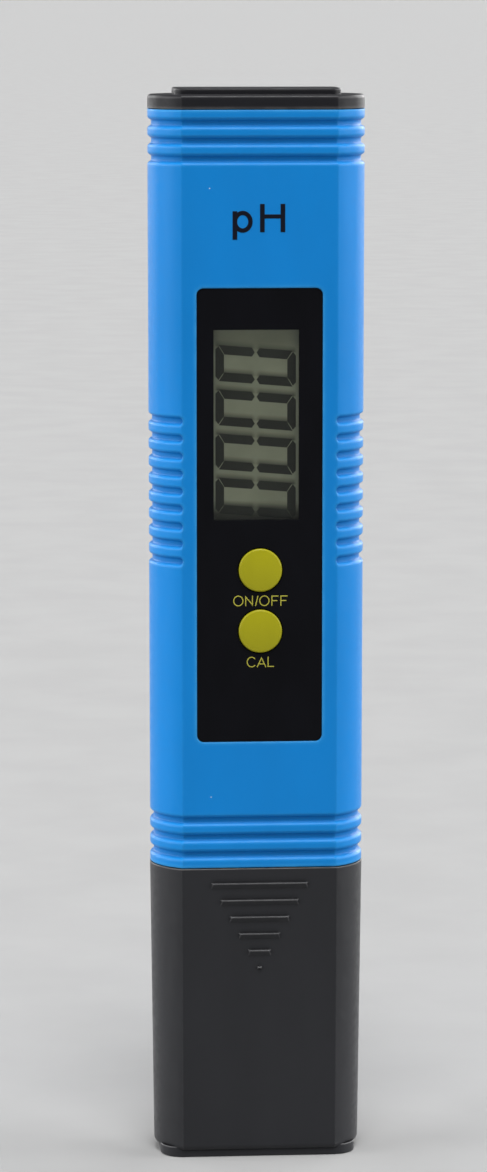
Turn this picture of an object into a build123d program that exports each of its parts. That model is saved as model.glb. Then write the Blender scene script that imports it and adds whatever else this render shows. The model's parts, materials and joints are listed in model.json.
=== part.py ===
from build123d import *
from math import acos, cos, degrees, pi, radians, sin, sqrt, tan
import os

# A pocket pH tester. Z runs up the barrel, the display faces -Y and the origin is the middle of the
# protective cap's foot. Everything is in millimetres.

# ---- Barrel: flat front and back, round sides. (half width, half depth, side radius) at its top rim
BODY_TOP = (15.56, 7.36, 8.31)
BODY_DRAFT = 0.068
BODY_Z = (43.14, 152.00)
BODY_CAVITY = (13.77, 5.63, 6.58)

# ---- Protective cap, its section at the rim
CAP_RIM = (15.47, 7.30, 8.43)
CAP_DRAFT = 0.69
CAP_Z = (0.92, 42.99)
CAP_SOCKET = (14.20, 6.05, 7.16)
CAP_SOCKET_FLOOR = 35.0
CAP_WELL = (13.75, 5.60, 6.71)
CAP_WELL_FLOOR = 2.6
CAP_EDGE = 0.95
FOOT = (14.20, 6.30, 3.2)
FOOT_EDGE = 0.25
FOOT_JOIN = 0.6

# ---- Grooves round the barrel and slots in its sides.
# A notch: (half width of its mouth, depth, radius of its rounded edges, radius of its floor's corners)
RING_NOTCH = (1.02, 0.52, 0.62, 0.22)
SLOT_NOTCH = (0.94, 0.50, 0.48, 0.20)
NOTCH_LIP = 0.02
NOTCH_FLANK = 58.0
NOTCH_PITCH = 2.52
RING_TOP_Z = 150.08
RING_BOTTOM_Z = 50.05
RING_COUNT = 3
RING_SWEEP = 78.0
SLOT_TOP_Z = 107.90
SLOT_COUNT = 9
SLOT_END_X = 11.55

# ---- Thumb ribs on the cap: wedges that narrow downwards
RIB_TOP_Z = 40.90
RIB_PITCH = 2.48
RIB_COUNT = 5
RIB_HALF = 6.75
RIB_STEP = 1.34
RIB_HEIGHT = 0.90
RIB_PROUD = 0.40
RIB_FLARE = 0.27
RIB_BEVEL = 0.12
RIB_ROOT = 0.3
DOT_RIB = (0.2, 0.45, 0.15)

# ---- Front panel and display. X and Z ranges
PANEL_X = (-9.03, 9.00)
PANEL_Z = (61.55, 126.85)
PANEL_CORNER = 1.0
PANEL_GAP = 0.06
PANEL_Y = (-7.18, -6.74)
RECESS_Y = -6.72
WINDOW_X = (-6.60, 5.60)
WINDOW_Z = (93.70, 120.90)
WINDOW_WALL = 0.35
PANE_GAP = 0.04
PANE_Y = (-7.10, -6.74)
GLASS_X = (-8.20, 7.20)
GLASS_Z = (92.20, 122.40)
FRONT_GLASS_Y = (-5.58, -4.58)
REAR_GLASS_X = (-6.10, 5.10)
REAR_GLASS_Y = (-4.56, -3.56)
REFLECTOR_Y = (-3.54, -3.34)
FRAME_WALL = 1.4
STRIP_WIDTH = 1.4

# ---- Circuit board and its carrier
BOARD_Y = (-1.90, -0.90)
BOARD_HALF_X = 12.8
BOARD_Z = (57.2, 128.4)
CARRIER_GAP = 0.15
CARRIER_WALL = 1.2
CARRIER_Z = (56.6, 129.0)
SCREW_X = 10.2
SCREW_Z = (66.0, 126.2)
SCREW_RADIUS = 0.95
SCREW_HEAD = (1.75, 1.25)
HEAD_EDGE = 0.5
BOSS_RADIUS = 2.0
SCREW_REACH = 4.0
HEAD_CROSS = ((1.0, 0.22), (0.22, 1.0))
HEAD_CROSS_FLOOR = 0.5
WEB_Z = (75.0, 98.6)
WEB_GAP = 1.2

# ---- Parts on the back of the board. X and Z ranges or centres
BLOB_Z = 106.5
BLOB_RADIUS = 9.0
BLOB_HEIGHT = 1.8
CHIP_X = (-2.0, 2.0)
CHIP_Z = (82.5, 87.5)
CHIP_Y = (0.2, 1.6)
CHIP_LEG_PITCH = 1.27
CHIP_LEGS = 4
SMALL_PART = (1.0, 0.6, 0.6)
SMALL_PART_X = (-7.2, 7.2)
SMALL_PART_Z = 77.0
SMALL_PART_PITCH = 4.4
SMALL_PART_SHIFT = 1.1
SMALL_PART_COUNT = 5
CRYSTAL_Z = 94.0
CRYSTAL_RADIUS = 1.0
CRYSTAL_LENGTH = 6.0
CRYSTAL_LEG = (0.16, 2.0)

# ---- Buttons and the switches behind them
BUTTON_X = 0.09
BUTTON_Z = {"power": 86.45, "calibrate": 77.63}
BUTTON_RADIUS = 3.10
BUTTON_GAP = 0.16
BUTTON_FRONT_Y = -7.74
BUTTON_CROWN = 22.0
BUTTON_EDGE = 0.22
FLANGE_RADIUS = 3.80
FLANGE_Y = (-5.55, -4.85)
STEM_RADIUS = 1.50
SWITCH_HALF = 3.0
SWITCH_Y = (-3.50, BOARD_Y[0])
PLUNGER_RADIUS = 1.70
PLUNGER_Y = (-4.20, -3.02)
PLUNGER_BORE_Y = -2.30
DOME_RADII = (4.85, 4.75)
DOME_CENTRE = 4.6
SWITCH_CORNER = 0.5

# ---- Battery bay
CELL_RADIUS = 5.8
CELL_THICK = 5.4
CELL_X = 6.3
CELL_CENTRE_Z = 141.2
TRAY_Z = (129.5, 144.4)
CELL_GAP = 0.12
CONTACT_Y = (2.95, 3.25)
CONTACT_SLOT = 3.35
CONTACT_SLOT_HALF = 4.0
BRIDGE_SLOT_Z = 134.0
CONTACT_Z = (135.0, 144.6)
CONTACT_HALF = 3.4
BRIDGE_Z = (137.5, 144.6)
TAIL_HALF = 1.0
TAIL_Z = 125.6
BUMP_RADIUS = 1.6
CELL_EDGE = 0.35
CELL_STEPS = ((0.6, 0.5, 1.0), (1.3, 0.0, 0.6))

# ---- Battery cover
COVER_Z = (152.12, 154.10)
COVER_TOP_Z = 155.0
COVER_EDGE = 0.55
PLATEAU = (11.9, 4.75, 1.6)
PLATEAU_Y = 0.25
PLATEAU_EDGE = 0.3
SKIRT_BOTTOM_Z = 145.2
SKIRT_GAP = 0.17
SKIRT_WALL = 1.4
SEAL_RADIUS = 0.45
SEAL_Z = 149.2

# ---- Electrode, all of it round the Z axis
HOLDER_TOP_Z = 54.0
NECK = (14.05, 5.90, 7.01)
NECK_BOTTOM_Z = 36.4
NECK_EDGE = 0.5
NECK_RING_Z = 40.0
PLUG_RING_Z = 48.5
RING_SECTION = 0.60
LIGHTENING_X = (6.0, 11.0)
LIGHTENING_HALF_Y = 3.2
LIGHTENING_Z = 46.0
TUBE_RADII = (4.30, 3.50)
TUBE_Z = (25.0, 56.0)
GUARD_RADII = (5.10, 4.42)
GUARD_Z = (9.5, 39.5)
GUARD_WINDOW_Z = (12.4, 24.0)
GUARD_WINDOW_HALF = 1.7
GUARD_WINDOW_CORNER = 1.4
GUARD_EDGE = 0.3
BULB_RADIUS = 3.40
BULB_CENTRE_Z = 18.4
STEM_OUTER = 2.40
GLASS_WALL = 0.45
STEM_TOP_Z = 46.0
SEAL_PLUG_Z = (25.2, 29.0)
JUNCTION_RADIUS = 0.40
JUNCTION_Z = (24.9, 29.4)
JUNCTION_ANGLE = 45.0
INNER_WIRE = (0.30, (17.6, 49.5))
REFERENCE_WIRE = (0.25, (31.0, 49.5))
REFERENCE_X = -2.95
TOP_PLUG_Z = (46.4, 55.4)
LEAD_BORE_Z = 49.6
LEAD_RADIUS = 0.40

FIT = 0.04
SMALL_CORNER = 0.5


# ---------------------------------------------------------------- shared shapes


def inset(size, depth):
    """The same barrel section, moved in by depth all round."""
    return tuple(value - depth for value in size)


def side_centre(size):
    """X of the centre of the round side."""
    return size[0] - size[2]


def crease_x(size):
    """Half the width of the flat front, where the round side starts."""
    return side_centre(size) + sqrt(size[2] ** 2 - size[1] ** 2)


def section(size, z):
    """The barrel section as a face at height z."""
    half_width, half_depth, _ = size
    flat = crease_x(size)
    front = Line((-flat, -half_depth), (flat, -half_depth))
    right = ThreePointArc((flat, -half_depth), (half_width, 0), (flat, half_depth))
    back = Line((flat, half_depth), (-flat, half_depth))
    left = ThreePointArc((-flat, half_depth), (-half_width, 0), (-flat, -half_depth))
    return Pos(0, 0, z) * make_face([front, right, back, left])


def barrel(size, z_range, draft=0.0):
    """A solid barrel between two heights; a negative draft widens it upwards."""
    return extrude(section(size, z_range[0]), amount=z_range[1] - z_range[0], taper=draft)


def block(x_range, y_range, z_range):
    """A box from its ranges."""
    ranges = (x_range, y_range, z_range)
    middle = [(low + high) / 2 for low, high in ranges]
    size = [high - low for low, high in ranges]
    return Pos(*middle) * Box(*size)


def plate(x_range, z_range, y_range, corner):
    """A plate that faces the front, with round corners."""
    width = x_range[1] - x_range[0]
    height = z_range[1] - z_range[0]
    middle = (sum(x_range) / 2, y_range[1], sum(z_range) / 2)
    front = Plane(origin=middle, x_dir=(1, 0, 0), z_dir=(0, -1, 0))
    return extrude(front * RectangleRounded(width, height, corner), amount=y_range[1] - y_range[0])


def peg(radius, x, z, y_range):
    """A round peg along Y."""
    length = y_range[1] - y_range[0]
    return Pos(x, sum(y_range) / 2, z) * Rot(90, 0, 0) * Cylinder(radius, length)


def rod(radius, x, y, z_range):
    """A round rod along Z."""
    length = z_range[1] - z_range[0]
    return Pos(x, y, sum(z_range) / 2) * Cylinder(radius, length)


def grown(span, by):
    """A range made longer at both ends."""
    return (span[0] - by, span[1] + by)


def side_arc(size, z, radius, half_angle):
    """Part of a torus that follows the round right side, half_angle each way from +X."""
    torus = Torus(size[2], radius, major_angle=2 * half_angle, align=None)
    return Pos(side_centre(size), 0, z) * Rot(0, 0, -half_angle) * torus


def crease_angle(size):
    """Angle from +X to the crease, about the round side's centre."""
    return degrees(acos((crease_x(size) - side_centre(size)) / size[2]))


def ring(size, z, radius):
    """A bead of round section that runs all round the barrel section at height z."""
    flat = crease_x(size)
    half_depth = size[1]
    right = side_arc(size, z, radius, crease_angle(size))
    bead = right + mirror(right, about=Plane.YZ)
    for y in (-half_depth, half_depth):
        bead += Pos(0, y, z) * Rot(0, 90, 0) * Cylinder(radius, 2 * flat)
        for x in (-flat, flat):
            bead += Pos(x, y, z) * Sphere(radius)
    return bead


def corner_radii(points):
    """The largest radius that each corner's two runs allow."""
    radii = []
    for before, corner, after in zip(points, points[1:], points[2:]):
        run_in = Vector(*corner) - Vector(*before)
        run_out = Vector(*after) - Vector(*corner)
        half_turn = radians(run_in.get_angle(run_out)) / 2
        radii.append(0.45 * min(run_in.length, run_out.length) / tan(half_turn))
    return radii


def lead(name, points):
    """An insulated wire of constant section: straight runs joined by tangent arcs."""
    radii = corner_radii(points)
    path = FilletPolyline(*points, radius=radii)
    start = Plane(origin=path @ 0, z_dir=path % 0)
    wire = sweep(start * Circle(LEAD_RADIUS), path=path)
    share = wire.volume / (pi * LEAD_RADIUS**2 * path.length)
    print(name, "radii", [round(r, 1) for r in radii], "volume share", round(share, 4))
    return wire


# ---------------------------------------------------------------- barrel


def body_size(z):
    """The barrel's outside section at height z."""
    return inset(BODY_TOP, (BODY_Z[1] - z) * tan(radians(BODY_DRAFT)))


def notch_face(plane, notch):
    """A notch's cross-section: rounded mouth edges, leaning flanks and a floor with round corners.

    The plane's first direction points out of the surface, its second across the notch."""
    mouth, depth, edge, corner = notch
    lean = radians(NOTCH_FLANK)
    half_lean = lean / 2
    flank_top = (NOTCH_LIP - edge * (1 - cos(lean)), mouth - edge * sin(lean))
    flank_foot_x = corner * (1 - cos(lean)) - depth
    flank_foot = (flank_foot_x, flank_top[1] - (flank_top[0] - flank_foot_x) / tan(lean))
    floor_end = flank_foot[1] - corner * sin(lean)
    outside = NOTCH_LIP + 1
    edge_middle = (NOTCH_LIP - edge * (1 - cos(half_lean)), mouth - edge * sin(half_lean))
    corner_middle = (corner * (1 - cos(half_lean)) - depth, floor_end + corner * sin(half_lean))
    outline = [
        Line((outside, 0), (outside, mouth)),
        Line((outside, mouth), (NOTCH_LIP, mouth)),
        ThreePointArc((NOTCH_LIP, mouth), edge_middle, flank_top),
        Line(flank_top, flank_foot),
        ThreePointArc(flank_foot, corner_middle, (-depth, floor_end)),
        Line((-depth, floor_end), (-depth, 0)),
        Line((-depth, 0), (outside, 0)),
    ]
    half = make_face(outline)
    return plane * (half + mirror(half, about=Plane.XZ))


def side_notch(z, notch, half_angle):
    """A notch round the right side, half_angle each way from +X."""
    size = body_size(z)
    face = notch_face(Plane((size[2], 0, 0), x_dir=(1, 0, 0), z_dir=(0, -1, 0)), notch)
    arc = revolve(face, axis=Axis.Z, revolution_arc=2 * half_angle)
    return Pos(side_centre(size), 0, z) * Rot(0, 0, -half_angle) * arc


def back_notch(z, notch):
    """A notch straight across the back."""
    size = body_size(z)
    start = Plane((-size[0], size[1], z), x_dir=(0, 1, 0), z_dir=(1, 0, 0))
    return extrude(notch_face(start, notch), amount=2 * size[0])


def round_end(z, notch, angle):
    """The round end of a notch on the right side, at an angle from +X."""
    size = body_size(z)
    face = notch_face(Plane.XY, notch)
    upper = face & Pos(0, 5) * Rectangle(10, 10)
    bowl = revolve(upper, axis=Axis.X, revolution_arc=360)
    return Pos(side_centre(size), 0, z) * Rot(0, 0, angle) * Pos(size[2], 0, 0) * bowl


def ring_cuts(z):
    """A notch all round the barrel: across the front and back, and round each side."""
    right = side_notch(z, RING_NOTCH, RING_SWEEP)
    back = back_notch(z, RING_NOTCH)
    return [right, mirror(right, about=Plane.YZ), back, mirror(back, about=Plane.XZ)]


def slot_cuts(z):
    """A grip slot round each side, with round ends beside the creases."""
    size = body_size(z)
    angle = degrees(acos((SLOT_END_X - side_centre(size)) / size[2]))
    cuts = [side_notch(z, SLOT_NOTCH, angle)]
    cuts += [round_end(z, SLOT_NOTCH, turn) for turn in (-angle, angle)]
    return cuts + [mirror(cut, about=Plane.YZ) for cut in cuts]


def body_shell():
    """The moulded sleeve, open at both ends, with its panel recess, grooves and slots."""
    shell = barrel(body_size(BODY_Z[0]), BODY_Z, -BODY_DRAFT)
    shell -= barrel(BODY_CAVITY, grown(BODY_Z, 1))
    for row in range(RING_COUNT):
        for first in (RING_TOP_Z, RING_BOTTOM_Z):
            for cut in ring_cuts(first - row * NOTCH_PITCH):
                shell -= cut
    for row in range(SLOT_COUNT):
        for cut in slot_cuts(SLOT_TOP_Z - row * NOTCH_PITCH):
            shell -= cut
    shell -= plate(PANEL_X, PANEL_Z, (-BODY_TOP[1] - 1, RECESS_Y), PANEL_CORNER)
    wall_y = (RECESS_Y - 1, -BODY_CAVITY[1] + 1)
    shell -= plate(grown(WINDOW_X, WINDOW_WALL), grown(WINDOW_Z, WINDOW_WALL), wall_y, SMALL_CORNER)
    for z in BUTTON_Z.values():
        shell -= peg(BUTTON_RADIUS + 2 * BUTTON_GAP, BUTTON_X, z, wall_y)
    return shell


def front_panel():
    """The glossy black overlay in its recess."""
    x_range = grown(PANEL_X, -PANEL_GAP)
    z_range = grown(PANEL_Z, -PANEL_GAP)
    panel = plate(x_range, z_range, PANEL_Y, PANEL_CORNER)
    through = grown(PANEL_Y, 1)
    panel -= block(WINDOW_X, through, WINDOW_Z)
    for z in BUTTON_Z.values():
        panel -= peg(BUTTON_RADIUS + BUTTON_GAP, BUTTON_X, z, through)
    return panel


def display_window():
    """The clear pane in the overlay."""
    return block(grown(WINDOW_X, -PANE_GAP), PANE_Y, grown(WINDOW_Z, -PANE_GAP))


# ---------------------------------------------------------------- display


def lcd_front_glass():
    """The larger glass, whose two long edges overhang the rear one."""
    return block(GLASS_X, FRONT_GLASS_Y, GLASS_Z)


def lcd_rear_glass():
    """The smaller glass behind it."""
    return block(REAR_GLASS_X, REAR_GLASS_Y, GLASS_Z)


def lcd_reflector():
    """The reflecting film on the rear glass."""
    return block(REAR_GLASS_X, REFLECTOR_Y, GLASS_Z)


def lcd_contact_strips():
    """Two rubber connectors between the overhanging edges and the board."""
    y_range = (FRONT_GLASS_Y[1] + FIT, BOARD_Y[0] - FIT)
    z_range = grown(GLASS_Z, -1)
    left_x = GLASS_X[0] + 0.3
    right_x = GLASS_X[1] - 0.3
    left = block((left_x, left_x + STRIP_WIDTH), y_range, z_range)
    right = block((right_x - STRIP_WIDTH, right_x), y_range, z_range)
    return Compound([left, right])


def lcd_frame():
    """The frame round the glass."""
    y_range = (FRONT_GLASS_Y[0], BOARD_Y[0] - FIT)
    inner_x = grown(GLASS_X, FIT)
    inner_z = grown(GLASS_Z, FIT)
    frame = plate(grown(inner_x, FRAME_WALL), grown(inner_z, FRAME_WALL), y_range, SMALL_CORNER)
    return frame - block(inner_x, grown(y_range, 1), inner_z)


# ---------------------------------------------------------------- circuit board


def screw_places():
    """X and Z of the four board screws."""
    return [(sign * SCREW_X, z) for z in SCREW_Z for sign in (-1, 1)]


def circuit_board():
    """The board, with screw holes."""
    board = plate((-BOARD_HALF_X, BOARD_HALF_X), BOARD_Z, BOARD_Y, 1.0)
    for x, z in screw_places():
        board -= peg(SCREW_RADIUS + 0.15, x, z, grown(BOARD_Y, 1))
    return board


def board_screws():
    """Four self-tapping screws with cross heads."""
    screws = []
    head_radius, head_height = SCREW_HEAD
    face = BOARD_Y[0] - FIT
    for x, z in screw_places():
        head = peg(head_radius, x, z, (face - head_height, face))
        head = fillet(head.edges().group_by(Axis.Y)[0], HEAD_EDGE)
        screw = head + peg(SCREW_RADIUS, x, z, (face - 0.1, BOARD_Y[1] + SCREW_REACH))
        recess_y = (face - head_height - 0.1, face - HEAD_CROSS_FLOOR)
        for half_x, half_z in HEAD_CROSS:
            screw -= block((x - half_x, x + half_x), recess_y, (z - half_z, z + half_z))
        screws.append(screw)
    return Compound(screws)


def board_carrier():
    """A half-round cradle against the sleeve's back, which the board screws on to."""
    outer = inset(BODY_CAVITY, CARRIER_GAP)
    face = BOARD_Y[1] + FIT
    keep = block((-20, 20), (face, 20), grown(CARRIER_Z, 1))
    carrier = barrel(outer, CARRIER_Z) - barrel(inset(outer, CARRIER_WALL), grown(CARRIER_Z, 1))
    carrier = carrier & keep
    inner_y = outer[1] - CARRIER_WALL
    behind = block((-20, 20), (face + WEB_GAP, 20), grown(CARRIER_Z, 1))
    for z in WEB_Z:
        carrier += barrel(inset(outer, 0.3), (z, z + CARRIER_WALL)) & behind
    for x, z in screw_places():
        carrier += peg(BOSS_RADIUS, x, z, (face, inner_y + 0.3)) & barrel(inset(outer, 0.1), CARRIER_Z)
    for x, z in screw_places():
        carrier -= peg(SCREW_RADIUS + FIT, x, z, (face - 1, BOARD_Y[1] + SCREW_REACH + 0.2))
    return carrier


def controller_blob():
    """The drop of epoxy over the controller, on the back of the board."""
    face = BOARD_Y[1] + FIT
    ball = Pos(0, face + BLOB_HEIGHT - BLOB_RADIUS, BLOB_Z) * Sphere(BLOB_RADIUS)
    return ball & block((-10, 10), (face, face + 5), (BLOB_Z - 10, BLOB_Z + 10))


def amplifier_chip():
    """An eight-legged amplifier on the back of the board."""
    face = BOARD_Y[1] + FIT
    chip = block(CHIP_X, (face + CHIP_Y[0], face + CHIP_Y[1]), CHIP_Z)
    first_leg = sum(CHIP_Z) / 2 - CHIP_LEG_PITCH * (CHIP_LEGS - 1) / 2
    for step in range(CHIP_LEGS):
        z = first_leg + step * CHIP_LEG_PITCH
        chip += block(grown(CHIP_X, 1), (face, face + 0.55), (z - 0.2, z + 0.2))
    return chip


def chip_parts():
    """Small resistors and capacitors in two rows on the back of the board."""
    face = BOARD_Y[1] + FIT
    half_x, half_z, height = SMALL_PART
    parts = []
    for row, x in enumerate(SMALL_PART_X):
        for step in range(SMALL_PART_COUNT):
            z = SMALL_PART_Z + step * SMALL_PART_PITCH + row * SMALL_PART_SHIFT
            parts.append(block((x - half_x, x + half_x), (face, face + height), (z - half_z, z + half_z)))
    return Compound(parts)


def timing_crystal():
    """The clock crystal's can with its two legs."""
    axis_y = BOARD_Y[1] + CRYSTAL_RADIUS + 0.2
    leg_radius, leg_length = CRYSTAL_LEG
    can = Pos(0, axis_y, CRYSTAL_Z) * Rot(0, 90, 0) * Cylinder(CRYSTAL_RADIUS, CRYSTAL_LENGTH)
    leg_x = -(CRYSTAL_LENGTH + leg_length) / 2 + 0.1
    for z in (CRYSTAL_Z - 0.35, CRYSTAL_Z + 0.35):
        can += Pos(leg_x, axis_y, z) * Rot(0, 90, 0) * Cylinder(leg_radius, leg_length)
    return can


# ---------------------------------------------------------------- buttons and switches


def button(z):
    """A domed button cap with the flange that keeps it in and the stem that works the switch."""
    cap = peg(BUTTON_RADIUS, BUTTON_X, z, (BUTTON_FRONT_Y, FLANGE_Y[0] + 0.1))
    crown = Pos(BUTTON_X, BUTTON_FRONT_Y + BUTTON_CROWN, z) * Sphere(BUTTON_CROWN)
    cap = cap & crown
    cap = fillet(cap.edges().group_by(Axis.Y)[0], BUTTON_EDGE)
    cap += peg(FLANGE_RADIUS, BUTTON_X, z, FLANGE_Y)
    return cap + peg(STEM_RADIUS, BUTTON_X, z, (FLANGE_Y[1] - 0.1, PLUNGER_Y[0] - 0.02))


def switch_base(z):
    """The switch's square case, with the bore that its plunger slides in."""
    base = block(
        (BUTTON_X - SWITCH_HALF, BUTTON_X + SWITCH_HALF),
        (SWITCH_Y[0], SWITCH_Y[1] - FIT),
        (z - SWITCH_HALF, z + SWITCH_HALF),
    )
    base = chamfer(base.edges().filter_by(Axis.Y), SWITCH_CORNER)
    return base - peg(PLUNGER_RADIUS + 0.06, BUTTON_X, z, (SWITCH_Y[0] - 1, PLUNGER_BORE_Y))


def switch_dome(z):
    """The snap dome at the bottom of the bore."""
    rim_y = PLUNGER_BORE_Y - 0.02
    centre = Pos(BUTTON_X, rim_y + DOME_CENTRE, z)
    outer, inner = [centre * Sphere(radius) for radius in DOME_RADII]
    keep = peg(PLUNGER_RADIUS - 0.15, BUTTON_X, z, (rim_y - 1, rim_y))
    return (outer - inner) & keep


def switch_plunger(z):
    """The switch's plunger."""
    plunger = peg(PLUNGER_RADIUS, BUTTON_X, z, PLUNGER_Y)
    return chamfer(plunger.edges().group_by(Axis.Y)[0], 0.15)


# ---------------------------------------------------------------- battery bay


def cell_places():
    """X of each of the two cells."""
    return (-CELL_X, CELL_X)


def battery_tray():
    """The moulded tray: a round-bottomed slot for each cell, open at the top."""
    tray = barrel(inset(BODY_CAVITY, CARRIER_GAP), TRAY_Z)
    radius = CELL_RADIUS + CELL_GAP
    y_range = (-CELL_THICK / 2 - CELL_GAP, CELL_THICK / 2 + CELL_GAP)
    for x in cell_places():
        tray -= peg(radius, x, CELL_CENTRE_Z, y_range)
        tray -= block((x - radius, x + radius), y_range, (CELL_CENTRE_Z, TRAY_Z[1] + 1))
        slot_x = (x - CONTACT_SLOT_HALF, x + CONTACT_SLOT_HALF)
        tray -= block(slot_x, (0, CONTACT_SLOT), grown(TRAY_Z, 1))
    bridge_x = (-CELL_X - CONTACT_SLOT_HALF, CELL_X + CONTACT_SLOT_HALF)
    tray -= block(bridge_x, (-CONTACT_SLOT, 0), (BRIDGE_SLOT_Z, TRAY_Z[1] + 1))
    return tray


def battery_cell(x):
    """A button cell: the can, its rolled edge and the smaller negative button."""
    back = CELL_THICK / 2
    can = peg(CELL_RADIUS, x, CELL_CENTRE_Z, (-back + 0.9, back))
    cell = fillet(can.edges().group_by(Axis.Y)[-1], CELL_EDGE)
    for smaller, low, high in CELL_STEPS:
        cell += peg(CELL_RADIUS - smaller, x, CELL_CENTRE_Z, (-back + low, -back + high))
    return cell


def contact_bump(x, y_range):
    """The spring bump that presses on a cell."""
    return peg(BUMP_RADIUS, x, CELL_CENTRE_Z, y_range)


def contact_bridge():
    """The front strip that joins the two cells in series."""
    y_range = (-CONTACT_Y[1], -CONTACT_Y[0])
    strip = block((-CELL_X - CONTACT_HALF, CELL_X + CONTACT_HALF), y_range, BRIDGE_Z)
    for x in cell_places():
        strip += contact_bump(x, (y_range[1] - 0.1, -CELL_THICK / 2 - 0.02))
    return strip


def contact_plate(x):
    """A rear contact with the tail that its lead is soldered to."""
    plate_body = block((x - CONTACT_HALF, x + CONTACT_HALF), CONTACT_Y, CONTACT_Z)
    tail = block((x - TAIL_HALF, x + TAIL_HALF), CONTACT_Y, (TAIL_Z, CONTACT_Z[0] + 0.1))
    bump = contact_bump(x, (CELL_THICK / 2 + 0.02, CONTACT_Y[0] + 0.1))
    return plate_body + tail + bump


def battery_lead(name, x):
    """The lead from a contact's tail down to the back of the board."""
    inward = -1 if x > 0 else 1
    tail_y = CONTACT_Y[0] - LEAD_RADIUS - 0.02
    end_x = x + inward * 2.2
    points = [
        (x, tail_y, 128.2),
        (x, tail_y - 0.05, 123.4),
        (x + inward * 0.5, tail_y + 0.5, 119.0),
        (end_x, tail_y + 0.4, 114.8),
        (end_x, BOARD_Y[1] + FIT, 114.0),
    ]
    return lead(name, points)


# ---------------------------------------------------------------- battery cover


def battery_cover():
    """The pull-off cover: a lid with a raised top and a skirt that fits in the sleeve."""
    lid = barrel(BODY_TOP, COVER_Z)
    lid = fillet(lid.edges().group_by(Axis.Z)[-1], COVER_EDGE)
    half_width, half_depth, corner = PLATEAU
    outline = Pos(0, PLATEAU_Y, COVER_Z[1] - 0.2) * RectangleRounded(2 * half_width, 2 * half_depth, corner)
    top = extrude(outline, amount=COVER_TOP_Z - COVER_Z[1] + 0.2)
    top = fillet(top.edges().group_by(Axis.Z)[-1], PLATEAU_EDGE)
    outer = inset(BODY_CAVITY, SKIRT_GAP)
    skirt = barrel(outer, (SKIRT_BOTTOM_Z, COVER_Z[0] + 0.2))
    skirt -= barrel(inset(outer, SKIRT_WALL), (SKIRT_BOTTOM_Z - 1, COVER_Z[0]))
    skirt -= ring(cover_seal_path(), SEAL_Z, SEAL_RADIUS + 0.02)
    return lid + top + skirt


def cover_seal_path():
    """The section that the middle of the cover's seal follows."""
    return inset(BODY_CAVITY, FIT + SEAL_RADIUS)


def battery_cover_seal():
    """The cover's rubber ring."""
    return ring(cover_seal_path(), SEAL_Z, SEAL_RADIUS)


# ---------------------------------------------------------------- electrode


def neck_ring_path():
    """The section that the middle of the neck's ring follows."""
    return inset(CAP_SOCKET, 0.05 + RING_SECTION)


def plug_ring_path():
    """The section that the middle of the plug's ring follows."""
    return inset(BODY_CAVITY, 0.02 + RING_SECTION)


def electrode_holder():
    """The plug in the sleeve's foot, and the neck below it that the cap fits over."""
    plug = barrel(inset(BODY_CAVITY, 0.05), (BODY_Z[0] - 0.1, HOLDER_TOP_Z))
    neck = barrel(NECK, (NECK_BOTTOM_Z, BODY_Z[0] - 0.02))
    neck = chamfer(neck.edges().group_by(Axis.Z)[0], NECK_EDGE)
    holder = plug + neck
    holder -= rod(TUBE_RADII[0] + FIT, 0, 0, (30, 60))
    holder -= rod(GUARD_RADII[0] + FIT, 0, 0, (30, GUARD_Z[1] + FIT))
    holder -= ring(neck_ring_path(), NECK_RING_Z, RING_SECTION + 0.02)
    holder -= ring(plug_ring_path(), PLUG_RING_Z, RING_SECTION + 0.02)
    hollow_y = (-LIGHTENING_HALF_Y, LIGHTENING_HALF_Y)
    hollow = block(LIGHTENING_X, hollow_y, (LIGHTENING_Z, HOLDER_TOP_Z + 1))
    return holder - hollow - mirror(hollow, about=Plane.YZ)


def cap_seal_ring():
    """The rubber ring that seals the cap."""
    return ring(neck_ring_path(), NECK_RING_Z, RING_SECTION)


def holder_seal_ring():
    """The rubber ring that seals the sleeve's foot."""
    return ring(plug_ring_path(), PLUG_RING_Z, RING_SECTION)


def electrode_guard():
    """The guard tube, with four windows round the glass bulb."""
    outer, inner = GUARD_RADII
    guard = rod(outer, 0, 0, GUARD_Z) - rod(inner, 0, 0, grown(GUARD_Z, 1))
    guard = fillet(guard.edges().group_by(Axis.Z)[0].sort_by(SortBy.RADIUS)[-1], GUARD_EDGE)
    window_x = (-GUARD_WINDOW_HALF, GUARD_WINDOW_HALF)
    window = plate(window_x, GUARD_WINDOW_Z, (-outer - 1, outer + 1), GUARD_WINDOW_CORNER)
    for angle in (45, 135):
        guard -= Rot(0, 0, angle) * window
    return guard


def electrode_tube():
    """The tube that holds the reference gel."""
    outer, inner = TUBE_RADII
    return rod(outer, 0, 0, TUBE_Z) - rod(inner, 0, 0, grown(TUBE_Z, 1))


def glass_membrane():
    """The thin glass bulb and its stem, blown in one piece and open at the top."""
    stem = (BULB_CENTRE_Z, STEM_TOP_Z)
    outer = Pos(0, 0, BULB_CENTRE_Z) * Sphere(BULB_RADIUS) + rod(STEM_OUTER, 0, 0, stem)
    inner = Pos(0, 0, BULB_CENTRE_Z) * Sphere(BULB_RADIUS - GLASS_WALL)
    inner += rod(STEM_OUTER - GLASS_WALL, 0, 0, (stem[0], stem[1] + 1))
    return outer - inner


def junction_place():
    """X and Y of the porous pin in the lower seal."""
    radius = (TUBE_RADII[1] + STEM_OUTER) / 2
    return (radius * cos(radians(JUNCTION_ANGLE)), -radius * sin(radians(JUNCTION_ANGLE)))


def electrode_seal():
    """The ring that closes the foot of the tube round the glass stem."""
    through = grown(SEAL_PLUG_Z, 1)
    seal = rod(TUBE_RADII[1] - FIT, 0, 0, SEAL_PLUG_Z) - rod(STEM_OUTER + FIT, 0, 0, through)
    return seal - rod(JUNCTION_RADIUS + FIT, *junction_place(), through)


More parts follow.
